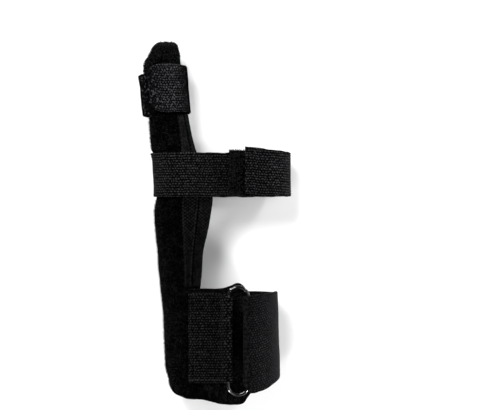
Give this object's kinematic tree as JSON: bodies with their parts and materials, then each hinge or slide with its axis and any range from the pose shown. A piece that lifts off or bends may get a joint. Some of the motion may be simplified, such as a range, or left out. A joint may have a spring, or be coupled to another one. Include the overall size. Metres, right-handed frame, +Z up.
{
  "type": "finger splint",
  "caption": "Little-finger splint: a padded gutter along the ulnar side of the hand, held by a fingertip strap, an elastic palm strap and a wrist wrap drawn through an oblong ring.",
  "frame": {"origin": "middle of the footprint, on the table under the back of the splint", "axes": "+X to the thumb side, +Y to the fingertip, +Z up, out of the palm"},
  "size_m": [0.0944, 0.2208, 0.0484],
  "materials": {
    "brushed_loop": "brushed loop cloth over foam, matt black",
    "woven_tape": "woven tape, black",
    "nylon_strap": "fine nylon knit over foam, charcoal",
    "ribbed_elastic": "ribbed woven elastic, black",
    "cuff_cloth": "soft knit, black",
    "ring_metal": "dark nickel plate"
  },
  "bodies": {
    "root": {"gutter_body": "brushed_loop", "stay_pocket": "woven_tape", "palm_edge_band": "woven_tape", "fingertip_strap": "nylon_strap", "palm_strap": "ribbed_elastic", "palm_loop_patch": "brushed_loop", "wrist_cuff": "cuff_cloth", "wrist_elastic": "ribbed_elastic", "wrist_ring": "ring_metal", "wrist_strap": "nylon_strap"}
  },
  "joints": []
}
